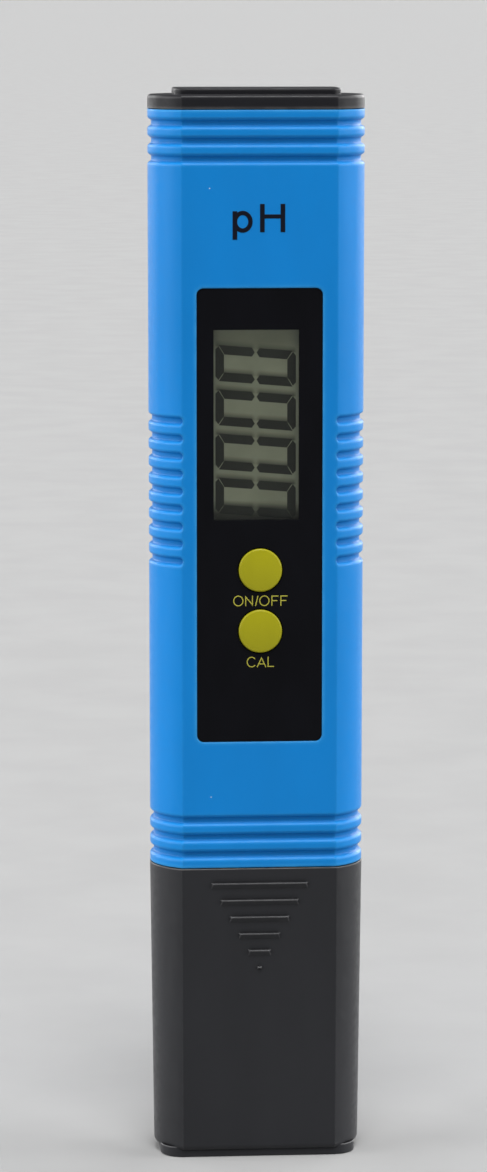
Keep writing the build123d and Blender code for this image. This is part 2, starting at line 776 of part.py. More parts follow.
def reference_junction():
    """The porous ceramic pin that lets the gel touch the sample."""
    return rod(JUNCTION_RADIUS, *junction_place(), JUNCTION_Z)


def inner_wire():
    """The silver wire inside the glass."""
    radius, z_range = INNER_WIRE
    return rod(radius, 0, 0, z_range)


def reference_wire():
    """The silver wire in the gel beside the glass stem."""
    radius, z_range = REFERENCE_WIRE
    return rod(radius, REFERENCE_X, 0, z_range)


def electrode_plug():
    """The plug in the top of the tube, which both wires come up through."""
    plug = rod(TUBE_RADII[1] - FIT, 0, 0, TOP_PLUG_Z)
    for x, (radius, _) in ((0, INNER_WIRE), (REFERENCE_X, REFERENCE_WIRE)):
        plug -= rod(radius + FIT, x, 0, (TOP_PLUG_Z[0] - 1, LEAD_BORE_Z + 0.5))
        plug -= rod(LEAD_RADIUS + FIT, x, 0, (LEAD_BORE_Z, TOP_PLUG_Z[1] + 1))
    return plug


def sensor_lead():
    """The lead from the inner wire to the back of the board."""
    points = [
        (0, 0, LEAD_BORE_Z + 0.1),
        (0, 0.0, 57.4),
        (0.5, 1.4, 61.8),
        (1.6, 3.1, 66.0),
        (2.2, 3.3, 70.6),
        (2.3, BOARD_Y[1] + FIT, 71.3),
    ]
    return lead("sensor_lead", points)


def reference_lead():
    """The lead from the reference wire to the back of the board."""
    points = [
        (REFERENCE_X, 0, LEAD_BORE_Z + 0.1),
        (REFERENCE_X, 0.0, 57.2),
        (REFERENCE_X - 0.6, 1.6, 61.4),
        (REFERENCE_X - 1.0, 3.2, 65.2),
        (REFERENCE_X - 1.2, 3.3, 69.2),
        (REFERENCE_X - 1.3, BOARD_Y[1] + FIT, 69.9),
    ]
    return lead("reference_lead", points)


# ---------------------------------------------------------------- protective cap


def cap_face_y(z):
    """Y of the cap's front face at height z."""
    return -CAP_RIM[1] + (CAP_Z[1] - z) * tan(radians(CAP_DRAFT))


def thumb_rib(z_top, half_top, height, flare):
    """A wedge with a flat ledge on top, bevelled along its front, that slopes down into the face."""
    z_low = z_top - height
    top_y = cap_face_y(z_top)
    low_y = cap_face_y(z_low)
    wide = half_top + flare
    corners = (
        (half_top, top_y - RIB_PROUD, z_top - RIB_BEVEL),
        (half_top, top_y - RIB_PROUD + RIB_BEVEL, z_top),
        (wide, top_y, z_top),
        (wide, top_y + RIB_ROOT, z_top),
        (wide, low_y, z_low),
        (wide, low_y + RIB_ROOT, z_low),
    )
    return ConvexPolyhedron([(sign * half, y, z) for sign in (-1, 1) for half, y, z in corners])


def protective_cap():
    """The pull-off cap: drafted walls, round foot edge, thumb ribs and the socket for the neck."""
    rim = section(CAP_RIM, CAP_Z[1])
    cap = extrude(rim, amount=CAP_Z[1] - CAP_Z[0], dir=(0, 0, -1), taper=CAP_DRAFT)
    cap = fillet(cap.edges().group_by(Axis.Z)[0], CAP_EDGE)
    half_width, half_depth, corner = FOOT
    foot = extrude(RectangleRounded(2 * half_width, 2 * half_depth, corner), amount=CAP_Z[0] + FOOT_JOIN)
    foot = fillet(foot.edges().group_by(Axis.Z)[0], FOOT_EDGE)
    cap += foot
    for row in range(RIB_COUNT):
        half = RIB_HALF - row * RIB_STEP
        cap += thumb_rib(RIB_TOP_Z - row * RIB_PITCH, half, RIB_HEIGHT, RIB_FLARE)
    cap += thumb_rib(RIB_TOP_Z - RIB_COUNT * RIB_PITCH, *DOT_RIB)
    cap -= barrel(CAP_SOCKET, (CAP_SOCKET_FLOOR, CAP_Z[1] + 1))
    return cap - barrel(CAP_WELL, (CAP_WELL_FLOOR, CAP_SOCKET_FLOOR + 1))


# ---------------------------------------------------------------- all sub-parts


def sub_parts():
    """Every sub-part under its name."""
    parts = {
        "body_shell": body_shell(),
        "front_panel": front_panel(),
        "display_window": display_window(),
        "lcd_front_glass": lcd_front_glass(),
        "lcd_rear_glass": lcd_rear_glass(),
        "lcd_reflector": lcd_reflector(),
        "lcd_contact_strips": lcd_contact_strips(),
        "lcd_frame": lcd_frame(),
        "circuit_board": circuit_board(),
        "board_screws": board_screws(),
        "board_carrier": board_carrier(),
        "controller_blob": controller_blob(),
        "amplifier_chip": amplifier_chip(),
        "chip_parts": chip_parts(),
        "timing_crystal": timing_crystal(),
        "battery_tray": battery_tray(),
        "contact_bridge": contact_bridge(),
        "battery_cover": battery_cover(),
        "battery_cover_seal": battery_cover_seal(),
        "electrode_holder": electrode_holder(),
        "cap_seal_ring": cap_seal_ring(),
        "holder_seal_ring": holder_seal_ring(),
        "electrode_guard": electrode_guard(),
        "electrode_tube": electrode_tube(),
        "glass_membrane": glass_membrane(),
        "electrode_seal": electrode_seal(),
        "reference_junction": reference_junction(),
        "inner_wire": inner_wire(),
        "reference_wire": reference_wire(),
        "electrode_plug": electrode_plug(),
        "sensor_lead": sensor_lead(),
        "reference_lead": reference_lead(),
        "protective_cap": protective_cap(),
    }
    for use, z in BUTTON_Z.items():
        parts[use + "_button"] = button(z)
        parts[use + "_switch_base"] = switch_base(z)
        parts[use + "_switch_dome"] = switch_dome(z)
        parts[use + "_switch_plunger"] = switch_plunger(z)
    for pole, x in zip(("negative", "positive"), cell_places()):
        parts["battery_cell_" + pole] = battery_cell(x)
        parts["contact_" + pole] = contact_plate(x)
        parts["battery_lead_" + pole] = battery_lead("battery_lead_" + pole, x)
    return parts


os.makedirs("parts", exist_ok=True)
for name, shape in sub_parts().items():
    export_step(shape, "parts/" + name + ".step")
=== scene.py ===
import json
import math

import bmesh
import bpy
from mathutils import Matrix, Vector


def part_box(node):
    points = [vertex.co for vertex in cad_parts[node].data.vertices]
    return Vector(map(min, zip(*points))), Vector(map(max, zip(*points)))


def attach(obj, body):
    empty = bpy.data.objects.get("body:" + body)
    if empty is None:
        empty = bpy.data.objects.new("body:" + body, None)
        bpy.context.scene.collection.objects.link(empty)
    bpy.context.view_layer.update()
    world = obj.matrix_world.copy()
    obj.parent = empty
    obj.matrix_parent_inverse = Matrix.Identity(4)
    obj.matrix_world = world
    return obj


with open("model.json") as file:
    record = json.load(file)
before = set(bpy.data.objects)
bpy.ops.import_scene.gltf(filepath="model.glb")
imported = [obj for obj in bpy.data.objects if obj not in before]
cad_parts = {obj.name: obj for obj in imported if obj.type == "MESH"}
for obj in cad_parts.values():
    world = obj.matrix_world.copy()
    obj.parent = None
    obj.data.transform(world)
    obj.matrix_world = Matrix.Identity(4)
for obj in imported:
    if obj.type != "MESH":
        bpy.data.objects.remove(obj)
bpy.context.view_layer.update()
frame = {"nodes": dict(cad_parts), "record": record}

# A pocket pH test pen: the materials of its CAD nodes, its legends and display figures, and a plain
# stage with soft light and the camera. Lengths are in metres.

MM = 0.001
NODES = frame["nodes"]

# ---------------------------------------------------------------- node helpers


def new_material(name):
    """An empty node material with its output; returns (material, tree, output)."""
    material = bpy.data.materials.new(name)
    material.use_nodes = True
    tree = material.node_tree
    tree.nodes.clear()
    return material, tree, tree.nodes.new("ShaderNodeOutputMaterial")


def link(tree, source, target):
    """Joins two sockets."""
    tree.links.new(source, target)


def object_place(tree):
    """The surface point in the part's own frame, in metres."""
    return tree.nodes.new("ShaderNodeTexCoord").outputs["Object"]


def noise(tree, place, size, detail=2.0, stretch=None):
    """A noise value whose features are about size metres across."""
    if stretch is not None:
        mapping = tree.nodes.new("ShaderNodeMapping")
        mapping.inputs["Scale"].default_value = stretch
        link(tree, place, mapping.inputs["Vector"])
        place = mapping.outputs["Vector"]
    node = tree.nodes.new("ShaderNodeTexNoise")
    node.inputs["Scale"].default_value = 1.0 / size
    node.inputs["Detail"].default_value = detail
    link(tree, place, node.inputs["Vector"])
    return node.outputs["Fac"]


def spread(tree, value, low, high, start=0.35, end=0.65):
    """Maps a value from start..end to low..high."""
    node = tree.nodes.new("ShaderNodeMapRange")
    node.inputs["From Min"].default_value = start
    node.inputs["From Max"].default_value = end
    node.inputs["To Min"].default_value = low
    node.inputs["To Max"].default_value = high
    link(tree, value, node.inputs["Value"])
    return node.outputs["Result"]


def maths(tree, operation, first, second=None):
    """The result of a maths node; each input is a socket or a number."""
    node = tree.nodes.new("ShaderNodeMath")
    node.operation = operation
    for index, value in enumerate((first, second)):
        if value is None:
            continue
        if isinstance(value, (int, float)):
            node.inputs[index].default_value = value
        else:
            link(tree, value, node.inputs[index])
    return node.outputs["Value"]


def blend_colour(tree, factor, first, second):
    """Mixes two colours; each is a socket or an (r, g, b)."""
    node = tree.nodes.new("ShaderNodeMix")
    node.data_type = "RGBA"
    link(tree, factor, node.inputs[0])
    for index, value in ((6, first), (7, second)):
        if isinstance(value, tuple):
            node.inputs[index].default_value = (*value, 1.0)
        else:
            link(tree, value, node.inputs[index])
    return node.outputs[2]


def tint(colour, factor):
    """A colour made lighter or darker."""
    return tuple(min(1.0, channel * factor) for channel in colour)


def specks(tree, place, cell, size, share):
    """1 in a few small round flecks, one at most in each cell, and 0 elsewhere."""
    node = tree.nodes.new("ShaderNodeTexVoronoi")
    node.inputs["Scale"].default_value = 1.0 / cell
    link(tree, place, node.inputs["Vector"])
    near = maths(tree, "LESS_THAN", node.outputs["Distance"], size / cell)
    parts = tree.nodes.new("ShaderNodeSeparateColor")
    link(tree, node.outputs["Color"], parts.inputs["Color"])
    chosen = maths(tree, "LESS_THAN", parts.outputs["Red"], share)
    return maths(tree, "MULTIPLY", near, chosen)


def rounded_normal(tree, radius):
    """A normal that softens sharp edges over radius metres."""
    node = tree.nodes.new("ShaderNodeBevel")
    node.samples = 4
    node.inputs["Radius"].default_value = radius
    return node.outputs["Normal"]


def openness(tree, reach, inside=False):
    """1 on open flat faces, and less in hollows within reach metres.

    Looked at from inside the part, it is less along the outer edges instead."""
    node = tree.nodes.new("ShaderNodeAmbientOcclusion")
    node.samples = 6
    node.inside = inside
    node.only_local = True
    node.inputs["Distance"].default_value = reach
    return node.outputs["AO"]


def bump(tree, height, depth, normal=None):
    """A normal bent by a height from 0 to 1 that stands for depth metres."""
    node = tree.nodes.new("ShaderNodeBump")
    node.inputs["Strength"].default_value = 1.0
    node.inputs["Distance"].default_value = depth
    link(tree, height, node.inputs["Height"])
    if normal is not None:
        link(tree, normal, node.inputs["Normal"])
    return node.outputs["Normal"]


# ---------------------------------------------------------------- materials


# Openness from the deepest hollow to a flat face, over which hollows take painted shade, and from the
# sharpest outer edge to a flat face, over which edges grow lighter with wear and a painted highlight
HOLLOW_SPAN = (0.55, 0.95)
EDGE_SPAN = (0.50, 0.92)
METAL_EDGE_SPAN = (0.50, 0.90)
HOLLOW_REACH = 0.9 * MM
DUST_CELL = 2.4 * MM
DUST_SIZE = 0.10 * MM
DUST_TONE = (0.46, 0.52, 0.60)


def moulded(name, colour, rough=(0.32, 0.42), grain=0.10, depth=0.004, mottle=0.05, wear_and_highlight=0.3,
            reach=0.3, soft=0.12, dust=0.0, specular=0.5, coat=0.0, hollow_shade=None, pale=None):
    """Moulded plastic: fine moulding grain, slight mottling and uneven gloss.

    Grain and depth are the grain's size and height, reach is how wide the lighter outer edges are and
    soft how round every edge looks, all in millimetres. The wear and highlight strength is how light
    the outer edges are, partly from wear and partly a painted highlight, and pale is their tone. The
    hollow shade is a colour of painted shade for hollows, which are made dull as well. Dust is the
    share of places that hold a fleck."""
    material, tree, output = new_material(name)
    shader = tree.nodes.new("ShaderNodeBsdfPrincipled")
    shader.inputs["Specular IOR Level"].default_value = specular
    shader.inputs["Coat Weight"].default_value = coat
    shader.inputs["Coat Roughness"].default_value = 0.12
    place = object_place(tree)
    flow = spread(tree, noise(tree, place, 9 * MM, 3.0, (1.0, 1.0, 0.35)), 0.0, 1.0)
    base = blend_colour(tree, flow, tint(colour, 1 - mottle), tint(colour, 1 + mottle))
    # Painted shade: hollows are darkened towards the hollow shade colour and made duller.
    if hollow_shade is not None:
        sky = openness(tree, HOLLOW_REACH)
        base = blend_colour(tree, spread(tree, sky, 1.0, 0.0, *HOLLOW_SPAN), base, hollow_shade)
        shine = spread(tree, sky, 0.0, specular, *HOLLOW_SPAN)
        link(tree, shine, shader.inputs["Specular IOR Level"])
    # Outer edges are made lighter: partly wear, partly a painted highlight.
    patch = spread(tree, noise(tree, place, 2.2 * MM, 3.0), 0.55 * wear_and_highlight, wear_and_highlight)
    edge = spread(tree, openness(tree, reach * MM, inside=True), 1.0, 0.0, *EDGE_SPAN)
    base = blend_colour(tree, maths(tree, "MULTIPLY", edge, patch), base, pale or tint(colour, 1.5))
    if dust:
        fleck = specks(tree, place, DUST_CELL, DUST_SIZE, dust)
        base = blend_colour(tree, fleck, base, DUST_TONE)
    link(tree, base, shader.inputs["Base Color"])
    gloss = noise(tree, place, 1.3 * MM, 4.0)
    link(tree, spread(tree, gloss, *rough), shader.inputs["Roughness"])
    height = noise(tree, place, grain * MM, 2.0)
    normal = rounded_normal(tree, soft * MM)
    link(tree, bump(tree, height, depth * MM, normal), shader.inputs["Normal"])
    link(tree, shader.outputs["BSDF"], output.inputs["Surface"])
    return material


def metal(name, colour, rough=(0.18, 0.34), stretch=(1.0, 1.0, 1.0), tarnish=0.12):
    """Plated or drawn metal: brushed roughness, light tarnish and edges rubbed bright."""
    material, tree, output = new_material(name)
    shader = tree.nodes.new("ShaderNodeBsdfPrincipled")
    shader.inputs["Metallic"].default_value = 1.0
    place = object_place(tree)
    brush = noise(tree, place, 0.3 * MM, 4.0, stretch)
    stain = noise(tree, place, 2.5 * MM, 3.0)
    dull = tint(colour, 1 - 3 * tarnish)
    base = blend_colour(tree, spread(tree, stain, 0.0, 1.0), colour, dull)
    edge = spread(tree, openness(tree, 0.25 * MM, inside=True), 0.8, 0.0, *METAL_EDGE_SPAN)
    link(tree, blend_colour(tree, edge, base, tint(colour, 1.25)), shader.inputs["Base Color"])
    link(tree, spread(tree, brush, *rough), shader.inputs["Roughness"])
    normal = rounded_normal(tree, 0.06 * MM)
    link(tree, bump(tree, brush, 0.002 * MM, normal), shader.inputs["Normal"])
    link(tree, shader.outputs["BSDF"], output.inputs["Surface"])
    return material


def clear(name, tone, rough=0.03, index=1.47, smear=0.08):
    """A clear pane or blown glass: mostly see-through, with sharp reflections and faint smears."""
    material, tree, output = new_material(name)
    through = tree.nodes.new("ShaderNodeBsdfTransparent")
    through.inputs["Color"].default_value = (*tone, 1.0)
    shine = tree.nodes.new("ShaderNodeBsdfGlossy")
    place = object_place(tree)
    film = noise(tree, place, 3.0 * MM, 4.0)
    link(tree, spread(tree, film, rough, rough + smear), shine.inputs["Roughness"])
    facing = tree.nodes.new("ShaderNodeFresnel")
    facing.inputs["IOR"].default_value = index
    mix = tree.nodes.new("ShaderNodeMixShader")
    link(tree, facing.outputs["Fac"], mix.inputs["Fac"])
    link(tree, through.outputs["BSDF"], mix.inputs[1])
    link(tree, shine.outputs["BSDF"], mix.inputs[2])
    link(tree, mix.outputs["Shader"], output.inputs["Surface"])
    return material


def overlay_gloss(name, colour):
    """The black overlay: smooth film with faint smears, hairline scratches and a few dust flecks."""
    material, tree, output = new_material(name)
    shader = tree.nodes.new("ShaderNodeBsdfPrincipled")
    shader.inputs["Specular IOR Level"].default_value = 0.07
    place = object_place(tree)
    smear = noise(tree, place, 6 * MM, 4.0, (1.0, 1.0, 0.5))
    hair = noise(tree, place, 0.25 * MM, 2.0, (6.0, 1.0, 0.12))
    scratch = spread(tree, hair, 0.0, 0.07, 0.62, 0.75)
    rough = maths(tree, "ADD", spread(tree, smear, 0.13, 0.22), scratch)
    link(tree, rough, shader.inputs["Roughness"])
    fleck = specks(tree, place, 4.2 * MM, 0.07 * MM, 0.10)
    base = blend_colour(tree, spread(tree, smear, 0.0, 1.0), tint(colour, 0.85), tint(colour, 1.2))
    link(tree, blend_colour(tree, fleck, base, (0.35, 0.35, 0.36)), shader.inputs["Base Color"])
    normal = rounded_normal(tree, 0.08 * MM)
    link(tree, bump(tree, smear, 0.004 * MM, normal), shader.inputs["Normal"])
    link(tree, shader.outputs["BSDF"], output.inputs["Surface"])
    return material


# ---------------------------------------------------------------- display face and colours

# Four noughts that lie on their sides, one above the other, with a little slant
GLASS_LOW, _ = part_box("lcd_front_glass")
WINDOW_LOW, WINDOW_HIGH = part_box("display_window")
FIGURE_COUNT = 4
FIGURE_PITCH = 6.33 * MM
FIGURE_HEIGHT = 5.14 * MM
FIGURE_HALF = 5.76 * MM
FIGURE_X = (WINDOW_LOW.x + WINDOW_HIGH.x) / 2 + 0.03 * MM
FIGURE_FIRST_Z = WINDOW_HIGH.z - 7.80 * MM
FIGURE_SLANT = 0.082
BAR = 1.28 * MM
END_BAR = 1.23 * MM
BAR_GAP = 0.05 * MM
TIP_GAP = 0.13 * MM
TIP_SLOPE = 0.42 * MM
END_CORNER = 0.35
END_SHOULDER = 0.12

# The shadow above each long bar, and the window's own shade at its foot and at its head
SHADOW_REACH = 0.75 * MM
SHADOW_STRENGTH = 0.75
FOOT_SHADE = (0.7 * MM, 2.6 * MM)
HEAD_SHADE = (4.5 * MM, 1.8 * MM)
LCD_TONE = (0.408, 0.424, 0.322)
LCD_DARK = (0.048, 0.051, 0.046)


def figure_shadow(tree, x, z):
    """How dark the soft shadow is that the figures' long bars throw above themselves."""
    across = maths(tree, "SUBTRACT", x, FIGURE_X)
    level = maths(tree, "ADD", z, maths(tree, "MULTIPLY", across, FIGURE_SLANT))
    start = FIGURE_FIRST_Z - FIGURE_COUNT * FIGURE_PITCH
    step = maths(tree, "FLOORED_MODULO", maths(tree, "SUBTRACT", level, start), FIGURE_PITCH)
    shadows = []
    for top in (FIGURE_HEIGHT, BAR):
        rise = spread(tree, step, 0.0, 1.0, top - 0.3 * MM, top - 0.1 * MM)
        fall = spread(tree, step, 1.0, 0.0, top, top + SHADOW_REACH)
        shadows.append(maths(tree, "MULTIPLY", rise, fall))
    shade = maths(tree, "MAXIMUM", *shadows)
    off_centre = maths(tree, "ABSOLUTE", across)
    inside = spread(tree, off_centre, 1.0, 0.0, FIGURE_HALF - 0.3 * MM, FIGURE_HALF + 0.1 * MM)
    gap = spread(tree, off_centre, 0.25, 1.0, TIP_GAP * 0.6, TIP_GAP + 0.5 * MM)
    below = maths(tree, "LESS_THAN", level, FIGURE_FIRST_Z + FIGURE_HEIGHT + SHADOW_REACH)
    for limit in (inside, gap, below):
        shade = maths(tree, "MULTIPLY", shade, limit)
    return maths(tree, "MULTIPLY", shade, SHADOW_STRENGTH)


def display_face(name):
    """The display's grey-green face: cloudy, shaded at its head and foot and under the figures."""
    material, tree, output = new_material(name)
    shader = tree.nodes.new("ShaderNodeBsdfPrincipled")
    shader.inputs["Specular IOR Level"].default_value = 0.1
    place = object_place(tree)
    parts = tree.nodes.new("ShaderNodeSeparateXYZ")
    link(tree, place, parts.inputs["Vector"])
    x, z = parts.outputs["X"], parts.outputs["Z"]
    cloud = spread(tree, noise(tree, place, 5 * MM, 3.0), 0.0, 1.0)
    base = blend_colour(tree, cloud, tint(LCD_TONE, 0.9), tint(LCD_TONE, 1.1))
    base = blend_colour(tree, figure_shadow(tree, x, z), base, LCD_DARK)
    foot = spread(tree, z, 0.85, 0.0, *(WINDOW_LOW.z + rise for rise in FOOT_SHADE))
    base = blend_colour(tree, foot, base, tint(LCD_DARK, 0.8))
    head = spread(tree, z, 0.0, 0.50, *(WINDOW_HIGH.z - drop for drop in HEAD_SHADE))
    base = blend_colour(tree, head, base, tint(LCD_TONE, 0.45))
    fleck = specks(tree, place, 2.6 * MM, 0.09 * MM, 0.10)
    base = blend_colour(tree, fleck, base, (0.20, 0.20, 0.18))
    link(tree, base, shader.inputs["Base Color"])
    grain = noise(tree, place, 0.12 * MM, 2.0)
    link(tree, spread(tree, grain, 0.38, 0.5), shader.inputs["Roughness"])
    link(tree, bump(tree, grain, 0.003 * MM), shader.inputs["Normal"])
    link(tree, shader.outputs["BSDF"], output.inputs["Surface"])
    return material


BLUE = (0.0026, 0.177, 0.507)
# Painted shade for the barrel's grooves
BLUE_HOLLOW_SHADE = (0.0060, 0.096, 0.345)
# Lighter edges of the barrel: partly wear, partly a painted highlight
BLUE_WEAR_AND_HIGHLIGHT = (0.0450, 0.320, 0.650)
CAP_BLACK = (0.0135, 0.0140, 0.0165)
COVER_BLACK = (0.0080, 0.0080, 0.0100)
YELLOW = (0.292, 0.274, 0.0055)
PRINT_YELLOW = (0.375, 0.350, 0.045)
PRINT_BLACK = (0.004, 0.005, 0.011)
PANEL_BLACK = (0.0026, 0.0027, 0.0040)


def node_materials():
    """One material for each slot of the record."""
    # The lighter edge tones below are partly wear and partly a painted highlight.
    return {
        # The hollow colours of the barrel and the cap are painted shade in their grooves and hollows.
        "barrel_plastic": moulded(
            "barrel_plastic", BLUE, (0.30, 0.40), mottle=0.035, wear_and_highlight=0.7, reach=0.7, soft=0.45,
            dust=0.10, specular=0.16, hollow_shade=BLUE_HOLLOW_SHADE, pale=BLUE_WEAR_AND_HIGHLIGHT,
        ),
        "panel_gloss": overlay_gloss("panel_gloss", PANEL_BLACK),
        "window_clear": clear("window_clear", (0.96, 0.97, 0.95), index=1.2),
        "lcd_glass": display_face("lcd_glass"),
        "reflector_film": moulded("reflector_film", (0.20, 0.21, 0.17), (0.25, 0.4)),
        "contact_rubber": moulded("contact_rubber", (0.60, 0.25, 0.30), (0.55, 0.7)),
        "frame_plastic": moulded("frame_plastic", (0.62, 0.62, 0.58), (0.4, 0.55)),
        "board_laminate": moulded(
            "board_laminate", (0.02, 0.17, 0.055), (0.2, 0.3), grain=0.5, coat=0.3,
        ),
        "screw_steel": metal("screw_steel", (0.62, 0.62, 0.64)),
        "epoxy_black": moulded("epoxy_black", (0.015, 0.015, 0.016), (0.3, 0.5)),
        "chip_ceramic": moulded("chip_ceramic", (0.42, 0.33, 0.22), (0.4, 0.6)),
        "crystal_can": metal("crystal_can", (0.72, 0.72, 0.74)),
        "contact_metal": metal("contact_metal", (0.74, 0.71, 0.64)),
        "cell_steel": metal("cell_steel", (0.74, 0.74, 0.76), (0.15, 0.28)),
        "lead_black": moulded("lead_black", (0.02, 0.02, 0.02), (0.4, 0.5)),
        "lead_red": moulded("lead_red", (0.50, 0.02, 0.02), (0.4, 0.5)),
        "lead_white": moulded("lead_white", (0.75, 0.75, 0.74), (0.4, 0.5)),
        "cover_plastic": moulded(
            "cover_plastic", COVER_BLACK, (0.34, 0.44), mottle=0.08, wear_and_highlight=0.8, reach=0.5,
            dust=0.06, specular=0.2, pale=(0.100, 0.098, 0.100),
        ),
        "cap_plastic": moulded(
            "cap_plastic", CAP_BLACK, (0.34, 0.46), mottle=0.08, wear_and_highlight=0.9, reach=0.2, soft=0.30,
            dust=0.03, specular=0.30, hollow_shade=(0.008, 0.008, 0.009), pale=(0.170, 0.170, 0.174),
        ),
        "holder_plastic": moulded("holder_plastic", (0.060, 0.060, 0.066), (0.35, 0.48), mottle=0.08),
        "tube_plastic": moulded("tube_plastic", (0.55, 0.54, 0.49), (0.2, 0.3)),
        "seal_rubber": moulded(
            "seal_rubber", (0.014, 0.014, 0.014), (0.5, 0.65), grain=0.2, depth=0.01,
        ),
        "silicone_seal": moulded("silicone_seal", (0.62, 0.62, 0.60), (0.35, 0.5)),
        "electrode_glass": clear("electrode_glass", (0.93, 0.96, 0.96), 0.01, 1.5, 0.03),
        "junction_ceramic": moulded(
            "junction_ceramic", (0.80, 0.78, 0.72), (0.7, 0.85), grain=0.08, depth=0.02,
        ),
        "silver_wire": metal("silver_wire", (0.70, 0.68, 0.66), (0.2, 0.4), (1.0, 1.0, 0.1), 0.2),
        "button_yellow": moulded(
            "button_yellow", YELLOW, (0.30, 0.42), wear_and_highlight=0.15, reach=0.4, soft=0.16,
            specular=0.2, pale=(0.50, 0.47, 0.08),
        ),
        "switch_case": moulded("switch_case", (0.03, 0.03, 0.03), (0.4, 0.5)),
        "switch_plunger": moulded("switch_plunger", (0.05, 0.05, 0.05), (0.35, 0.5)),
    }


def dress_nodes():
    """Gives each CAD node the material of its slot."""
    made = node_materials()
    for row in frame["record"]["subparts"]:
        mesh_object = NODES[row["node"]]
        material = made[row["material_slot"]]
        if not mesh_object.material_slots:
            mesh_object.data.materials.append(material)
        for index in range(len(mesh_object.material_slots)):
            mesh_object.material_slots[index].link = "OBJECT"
            mesh_object.material_slots[index].material = material


# ---------------------------------------------------------------- legends and display figures


def prism(mesh, loop, front_y, back_y):
    """Adds a flat shape with a simple outline, as a closed solid."""
    front = [mesh.verts.new((x, front_y, z)) for x, z in loop]
    back = [mesh.verts.new((x, back_y, z)) for x, z in loop]
    mesh.faces.new(front)
    mesh.faces.new(list(reversed(back)))
    for index in range(len(loop)):
        after = (index + 1) % len(loop)
        mesh.faces.new((front[after], front[index], back[index], back[after]))


def ribbon(mesh, left, right, closed, front_y, back_y):
    """Adds a flat stroke between two edges, as a closed solid."""
    rows = []
    for (x_left, z_left), (x_right, z_right) in zip(left, right):
        corners = (
            (x_left, front_y, z_left), (x_right, front_y, z_right),
            (x_right, back_y, z_right), (x_left, back_y, z_left),
        )
        rows.append([mesh.verts.new(corner) for corner in corners])
    for here, after in zip(rows, rows[1:] + rows[:1] if closed else rows[1:]):
        for side in range(4):
            beside = (side + 1) % 4
            mesh.faces.new((here[side], here[beside], after[beside], after[side]))
    if not closed:
        mesh.faces.new(rows[0])
        mesh.faces.new(list(reversed(rows[-1])))


def flat_piece(name, outlines, strokes, front_y, back_y, material):
    """A piece of flat shapes that face the front and ride on the barrel.

    An outline is a loop of points; a stroke is its left and right edges and whether it is closed."""
    mesh = bmesh.new()
    for loop in outlines:
        prism(mesh, loop, front_y, back_y)
    for left, right, closed in strokes:
        ribbon(mesh, left, right, closed, front_y, back_y)
    bmesh.ops.recalc_face_normals(mesh, faces=mesh.faces)
    data = bpy.data.meshes.new(name)
    mesh.to_mesh(data)
    mesh.free()
    data.materials.append(material)
    piece = bpy.data.objects.new(name, data)
    bpy.context.scene.collection.objects.link(piece)
    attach(piece, "barrel")


def stroke(points, width, closed=False):
    """The two edges of a stroke of constant width along points, mitred at its corners."""
    count = len(points)
    left, right = [], []
    for index, point in enumerate(points):
        here = Vector(point)
        before = Vector(points[index - 1]) if index or closed else None
        after = Vector(points[(index + 1) % count]) if index < count - 1 or closed else None
        runs = [(here - before).normalized()] if before is not None else []
        runs += [(after - here).normalized()] if after is not None else []
        normals = [Vector((-run.y, run.x)) for run in runs]
        across = sum(normals, Vector((0, 0))).normalized()
        reach = width / 2 / max(0.3, across.dot(normals[0]))
        left.append(here + across * reach)
        right.append(here - across * reach)
    return left, right, closed


def oval(centre, radii, start=0.0, end=360.0, steps=36):
    """Points along part of an oval; a whole one leaves out its last point."""
    count = steps if end - start == 360 else steps + 1
    points = []
    for index in range(count):
        angle = math.radians(start + (end - start) * index / steps)
        across, up = radii[0] * math.cos(angle), radii[1] * math.sin(angle)
        points.append((centre[0] + across, centre[1] + up))
    return points


# Plain capitals of height 1, each with its advance width and its strokes; the O is a closed stroke
STROKE = 0.096
CAPITALS = {
    "O": (1.087, [oval((0.543, 0.5), (0.44, 0.465))]),
    "N": (1.008, [[(0.16, 0.0), (0.16, 0.87), (0.80, 0.13), (0.80, 1.0)]]),
    "/": (0.388, [[(0.09, 0.0), (0.32, 1.0)]]),
    "F": (0.853, [
        [(0.17, 0.0), (0.17, 0.94), (0.80, 0.94)],
        [(0.17 + STROKE / 2, 0.50), (0.70, 0.50)],
    ]),
    "C": (1.008, [oval((0.53, 0.5), (0.42, 0.465), 38, 322)]),
    "A": (0.932, [[(0.05, 0.0), (0.466, 0.88), (0.88, 0.0)], [(0.25, 0.31), (0.68, 0.31)]]),
    "L": (0.777, [[(0.16, 1.0), (0.16, 0.06), (0.73, 0.06)]]),
}


def word(text, centre_x, base_z, height):
    """The strokes of a word in plain capitals."""
    total = sum(CAPITALS[letter][0] for letter in text)
    x = centre_x - total * height / 2
    strokes = []
    for letter in text:
        advance, lines = CAPITALS[letter]
        for points in lines:
            placed = [(x + u * height, base_z + v * height) for u, v in points]
            strokes.append(stroke(placed, STROKE * height, closed=letter == "O"))
        x += advance * height
    return strokes


def box_outline(x_low, x_high, z_low, z_high):
    """A rectangle as an outline."""
    return [(x_low, z_low), (x_high, z_low), (x_high, z_high), (x_low, z_high)]


def open_bowl(centre, outer, inner, stem_x, steps=40):
    """A letter's round bowl, cut off straight at x = stem_x on its left, as a stroke."""
    edges = []
    for radii in (outer, inner):
        end = math.degrees(math.acos((stem_x - centre[0]) / radii[0]))
        edges.append(oval(centre, radii, -end, end, steps))
    return (*edges, False)


# The measuring legend's letters p and H, from the left end of their base line
MARK_LEFT = -3.89 * MM
MARK_DROP = 17.25 * MM
MARK_BAR = 0.66 * MM
P_TAIL = 1.05 * MM
P_HEIGHT = 2.98 * MM
BOWL_CENTRE = (1.44 * MM, 1.49 * MM)
BOWL_OUTER = (1.41 * MM, 1.55 * MM)
BOWL_INNER = (0.79 * MM, 0.93 * MM)
H_START = 3.90 * MM
H_WIDTH = 3.58 * MM
H_HEIGHT = 4.00 * MM
H_CROSS = (1.94 * MM, 2.52 * MM)


